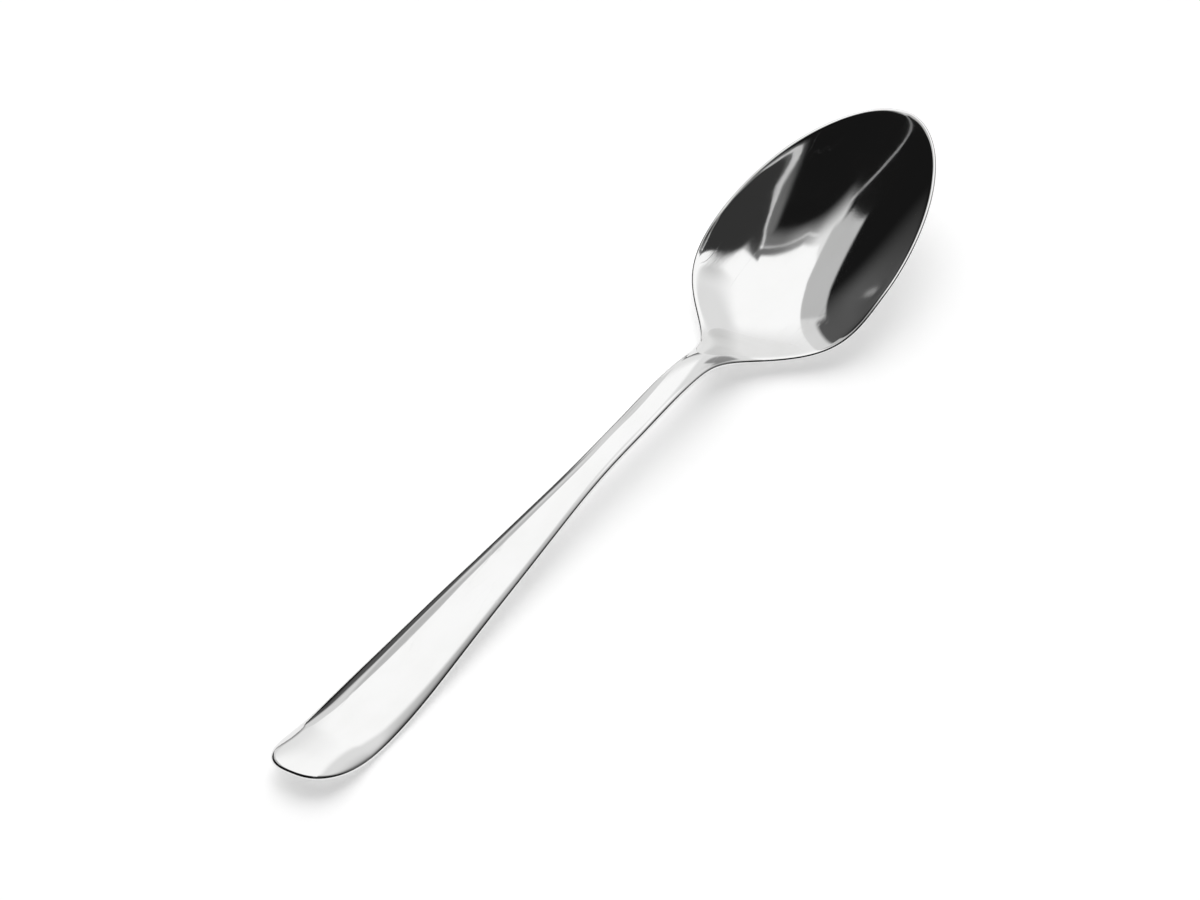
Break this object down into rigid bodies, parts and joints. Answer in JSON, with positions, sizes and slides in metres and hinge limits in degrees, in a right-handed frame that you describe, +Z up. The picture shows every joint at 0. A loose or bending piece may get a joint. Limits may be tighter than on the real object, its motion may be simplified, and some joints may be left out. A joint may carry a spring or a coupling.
{
  "type": "soup spoon",
  "caption": "One-piece polished steel soup spoon with a pointed oval bowl, a narrow raised neck and a crowned, tapering handle; lies face up on its bowl and handle end.",
  "frame": {"origin": "on the table, under the middle of the spoon's bounding box", "axes": "+X along the spoon towards the tip of the bowl, +Z up, the hollow of the bowl facing up"},
  "size_m": [0.2002, 0.04, 0.0205],
  "materials": {
    "steel": "mirror polished stainless steel with fine polishing scratches"
  },
  "bodies": {
    "root": {"handle": "steel", "neck": "steel", "bowl": "steel"}
  },
  "joints": []
}
